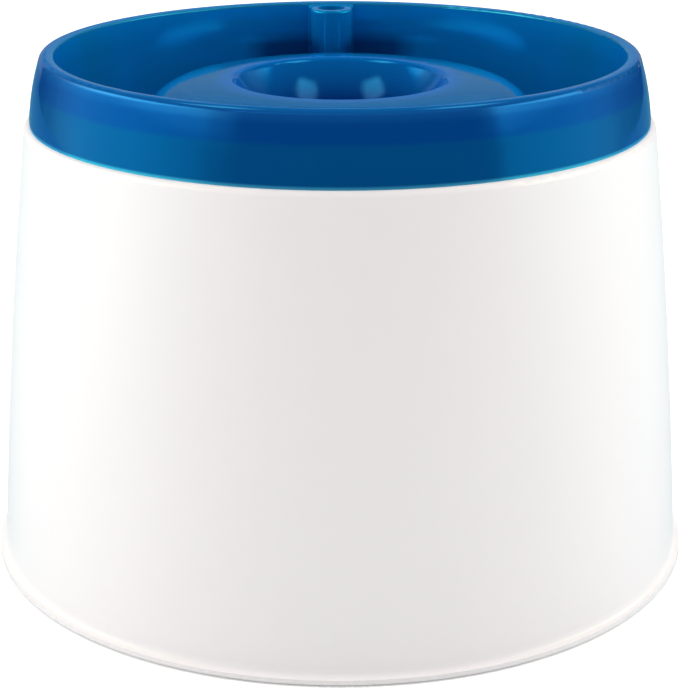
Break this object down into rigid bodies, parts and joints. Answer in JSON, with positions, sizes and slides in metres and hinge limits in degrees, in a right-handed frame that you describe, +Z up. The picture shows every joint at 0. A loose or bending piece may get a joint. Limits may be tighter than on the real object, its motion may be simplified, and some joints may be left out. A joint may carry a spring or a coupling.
{
  "type": "pet water fountain",
  "caption": "Round pet water fountain: conical white reservoir, translucent blue lift-off basin with a ring moat, doughnut dome and rear spout, filter tray and submersible pump inside.",
  "frame": {"origin": "centre of the footprint, on the surface that the foot pads stand on", "axes": "+Z up, -Y towards the drinking front, +Y towards the spout and the cord exit, +X to the right"},
  "size_m": [0.225, 0.225, 0.1607],
  "materials": {
    "white_plastic": "satin white moulding",
    "blue_plastic": "translucent blue moulding",
    "grey_rubber": "matte",
    "silicone": "milky silicone",
    "tray_plastic": "natural plastic",
    "cartridge_plastic": "white plastic",
    "foam": "open cell foam",
    "carbon": "packed granules",
    "felt": "filter felt",
    "black_plastic": "moulded black",
    "resin": "cast resin",
    "steel": "laminated",
    "copper": "enamelled copper wire",
    "magnet": "ferrite",
    "impeller_plastic": "moulded white"
  },
  "bodies": {
    "base": {"reservoir": "white_plastic", "cord_grommet": "grey_rubber", "foot_pad_1": "grey_rubber", "foot_pad_2": "grey_rubber", "foot_pad_3": "grey_rubber", "foot_pad_4": "grey_rubber"},
    "basin": {"top_basin": "blue_plastic", "outlet_seal": "silicone"},
    "tray": {"filter_tray": "tray_plastic"},
    "cartridge": {"cartridge_frame": "cartridge_plastic", "cartridge_lid": "cartridge_plastic", "filter_felt": "felt", "filter_carbon": "carbon", "filter_foam": "foam"},
    "pump": {"pump_housing": "black_plastic", "potting_resin": "resin", "stator_core": "steel", "coil_bobbin": "tray_plastic", "coil_winding": "copper", "cord_gland": "grey_rubber", "impeller_shaft": "steel", "shaft_bush_front": "grey_rubber", "shaft_bush_rear": "grey_rubber", "volute_cover": "black_plastic", "cover_o_ring": "grey_rubber", "riser_pipe": "silicone", "suction_cup_1": "grey_rubber", "suction_cup_2": "grey_rubber", "suction_cup_3": "grey_rubber", "suction_cup_4": "grey_rubber"},
    "rotor": {"rotor_magnet": "magnet", "impeller": "impeller_plastic"},
    "intake": {"intake_cover": "black_plastic", "intake_sponge": "foam"},
    "dial": {"flow_dial": "impeller_plastic"}
  },
  "joints": [
    {"name": "basin_lift", "type": "slide", "parent": "base", "child": "basin", "axis": [0, 0, 1], "range_m": [0, 0.17]},
    {"name": "tray_drop", "type": "slide", "parent": "basin", "child": "tray", "axis": [0, 0, -1], "range_m": [0, 0.03]},
    {"name": "cartridge_lift", "type": "slide", "parent": "tray", "child": "cartridge", "axis": [0, 0, 1], "range_m": [0, 0.015]},
    {"name": "pump_lift", "type": "slide", "parent": "base", "child": "pump", "axis": [0, 0, 1], "range_m": [0, 0.085]},
    {"name": "impeller_spin", "type": "hinge", "parent": "pump", "child": "rotor", "pos_m": [0, 0.065, 0.0354], "axis": [0, 1, 0], "continuous": true},
    {"name": "cover_slide", "type": "slide", "parent": "pump", "child": "intake", "axis": [0, -1, 0], "range_m": [0, 0.024]},
    {"name": "dial_turn", "type": "hinge", "parent": "intake", "child": "dial", "pos_m": [0, 0.0435, 0.0354], "axis": [0, 1, 0], "range_deg": [0, 45]}
  ],
  "couplings": [
    {"joint": "cartridge_lift", "follows": "tray_drop", "ratio": 0.5},
    {"joint": "pump_lift", "follows": "basin_lift", "ratio": 0.5}
  ]
}
